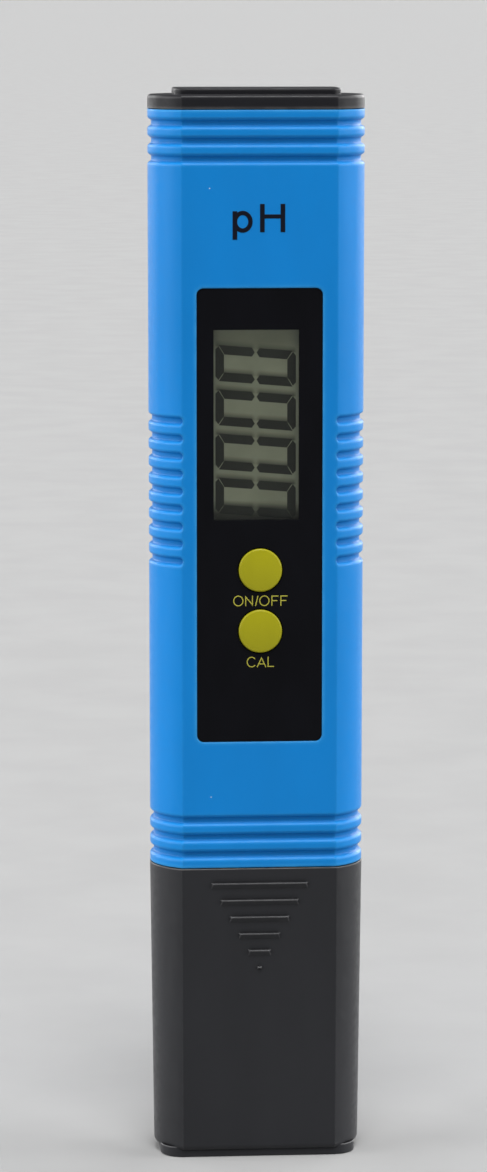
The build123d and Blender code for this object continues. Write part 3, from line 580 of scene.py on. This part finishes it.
def measure_mark(x_low, base_z):
    """The plain letters p and H, which name the quantity measured, as outlines and strokes."""
    x_stem = x_low + MARK_BAR
    h_left, h_right = x_low + H_START, x_low + H_START + H_WIDTH
    h_top = base_z + H_HEIGHT
    outlines = [
        box_outline(x_low, x_stem, base_z - P_TAIL, base_z + P_HEIGHT),
        box_outline(h_left, h_left + MARK_BAR, base_z, h_top),
        box_outline(h_right - MARK_BAR, h_right, base_z, h_top),
        box_outline(h_left + MARK_BAR, h_right - MARK_BAR, *(base_z + rise for rise in H_CROSS)),
    ]
    centre = (x_low + BOWL_CENTRE[0], base_z + BOWL_CENTRE[1])
    return outlines, [open_bowl(centre, BOWL_OUTER, BOWL_INNER, x_stem)]


def slanted(points, base_z):
    """Figure points, from the figure's own corner to their place in the display."""
    return [(FIGURE_X + u, base_z + v - u * FIGURE_SLANT) for u, v in points]


def figure_bars(base_z):
    """The six bars of a nought on its side: four long ones and one at each end."""
    high, half = FIGURE_HEIGHT, FIGURE_HALF
    corner, shoulder = END_CORNER * END_BAR, END_SHOULDER * BAR
    bars = []
    for sign in (-1, 1):
        long_bar = [
            (sign * (half - BAR_GAP - corner), high),
            (sign * (TIP_GAP + TIP_SLOPE), high),
            (sign * TIP_GAP, high - BAR / 2),
            (sign * (TIP_GAP + TIP_SLOPE), high - BAR),
            (sign * (half - END_BAR - BAR_GAP), high - BAR),
        ]
        low_bar = [(u, high - v) for u, v in long_bar]
        end_bar = [
            (sign * half, BAR / 2),
            (sign * half, high - BAR / 2),
            (sign * (half - corner), high - shoulder),
            (sign * (half - END_BAR), high - BAR - BAR_GAP),
            (sign * (half - END_BAR), BAR + BAR_GAP),
            (sign * (half - corner), shoulder),
        ]
        bars += [slanted(bar, base_z) for bar in (long_bar, low_bar, end_bar)]
    return bars


# Each key's legend, and how far its base line lies below the key's middle
KEY_LEGENDS = (("power_button", "ON/OFF", 5.19 * MM), ("calibrate_button", "CAL", 5.24 * MM))
LEGEND_HEIGHT = 1.51 * MM
FILM = 0.03 * MM
GLASS_CLEARANCE = 0.002 * MM
MARK_SINK = 0.02 * MM


def add_figures():
    """The display's dark figures, on the front of its glass."""
    bars = []
    for index in range(FIGURE_COUNT):
        bars += figure_bars(FIGURE_FIRST_Z - index * FIGURE_PITCH)
    dark = moulded("figure_dark", LCD_DARK, (0.4, 0.5), mottle=0.12, wear_and_highlight=0.0, specular=0.1)
    front_y, back_y = GLASS_LOW.y - FILM, GLASS_LOW.y - GLASS_CLEARANCE
    flat_piece("display_figures", bars, [], front_y, back_y, dark)


def add_key_legends():
    """A legend under each key, let into the panel's face."""
    panel_low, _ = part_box("front_panel")
    front_y, back_y = panel_low.y - FILM, panel_low.y + FILM
    yellow = moulded("legend_yellow", PRINT_YELLOW, (0.4, 0.5), wear_and_highlight=0.0, specular=0.2)
    for key_node, text, drop in KEY_LEGENDS:
        low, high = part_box(key_node)
        strokes = word(text, (low.x + high.x) / 2, (low.z + high.z) / 2 - drop, LEGEND_HEIGHT)
        flat_piece("legend_" + key_node, [], strokes, front_y, back_y, yellow)


def add_measure_legend():
    """The quantity measured, near the top of the barrel's front."""
    low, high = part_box("body_shell")
    outlines, strokes = measure_mark(MARK_LEFT, high.z - MARK_DROP)
    front_y = low.y + MARK_SINK - FILM
    back_y = low.y + MARK_SINK + 2 * FILM
    ink = moulded("legend_black", PRINT_BLACK, (0.35, 0.45), wear_and_highlight=0.0, specular=0.1)
    flat_piece("legend_measure", outlines, strokes, front_y, back_y, ink)


# ---------------------------------------------------------------- stage, light and camera

FLOOR_HALF = 400.0
FLOOR_TONES = ((0.290, 0.290, 0.290), (0.305, 0.305, 0.305))

# Each soft sun: the direction that it shines from, its strength in W/m2 and its width in degrees
SUNS = {
    "above": ((0.0, -0.42, 0.91), 2.85, 26.0),
    "side_left": ((-1.50, -0.16, 0.65), 2.90, 50.0),
    "rim_left": ((-0.70, 0.75, 0.20), 1.90, 45.0),
    "side_right": ((1.50, -0.16, 0.65), 3.05, 50.0),
    "rim_right": ((0.70, 0.75, 0.20), 2.50, 45.0),
}
SURROUND_TONE = (0.97, 0.98, 1.0)
SURROUND_STRENGTH = 0.20

CAMERA_PLACE = (-0.0470, -0.6177, 0.1676)
CAMERA_LENS = 132.5
CAMERA_TILT_DOWN = math.radians(7.76)
CAMERA_TURN_RIGHT = math.radians(4.185)


def add_floor():
    """A plain pale floor, faintly uneven in tone."""
    mesh = bpy.data.meshes.new("floor")
    signs = ((-1, -1), (1, -1), (1, 1), (-1, 1))
    mesh.from_pydata([(x * FLOOR_HALF, y * FLOOR_HALF, 0) for x, y in signs], [], [(0, 1, 2, 3)])
    floor = bpy.data.objects.new("floor", mesh)
    bpy.context.scene.collection.objects.link(floor)
    material, tree, output = new_material("floor_pale")
    shader = tree.nodes.new("ShaderNodeBsdfPrincipled")
    shader.inputs["Specular IOR Level"].default_value = 0.1
    shader.inputs["Roughness"].default_value = 0.8
    patch = spread(tree, noise(tree, object_place(tree), 25 * MM, 3.0), 0.0, 1.0)
    link(tree, blend_colour(tree, patch, *FLOOR_TONES), shader.inputs["Base Color"])
    link(tree, shader.outputs["BSDF"], output.inputs["Surface"])
    mesh.materials.append(material)


def add_sun(name, toward, strength, width):
    """An even soft light that shines from a direction and looks width degrees across."""
    data = bpy.data.lights.new(name, "SUN")
    data.energy = strength
    data.angle = math.radians(width)
    lamp = bpy.data.objects.new(name, data)
    lamp.rotation_euler = (-Vector(toward)).to_track_quat("-Z", "Y").to_euler()
    bpy.context.scene.collection.objects.link(lamp)


def add_light():
    """Even light from above, from both sides and low from behind for the rims, and a pale surround."""
    for name, (toward, strength, width) in SUNS.items():
        add_sun(name, toward, strength, width)
    world = bpy.data.worlds.new("surround")
    world.use_nodes = True
    background = world.node_tree.nodes["Background"]
    background.inputs["Color"].default_value = (*SURROUND_TONE, 1.0)
    background.inputs["Strength"].default_value = SURROUND_STRENGTH
    bpy.context.scene.world = world


def add_camera():
    """A long lens above and a little to the left of the pen, tilted down and turned towards it."""
    data = bpy.data.cameras.new("camera")
    data.sensor_width = 36.0
    data.lens = CAMERA_LENS
    data.clip_start = 0.01
    data.clip_end = 1000.0
    camera = bpy.data.objects.new("camera", data)
    camera.location = CAMERA_PLACE
    camera.rotation_euler = (math.radians(90) - CAMERA_TILT_DOWN, 0.0, -CAMERA_TURN_RIGHT)
    bpy.context.scene.collection.objects.link(camera)
    bpy.context.scene.camera = camera


dress_nodes()
add_figures()
add_key_legends()
add_measure_legend()
add_floor()
add_light()
add_camera()
bpy.context.scene.view_settings.view_transform = "Standard"
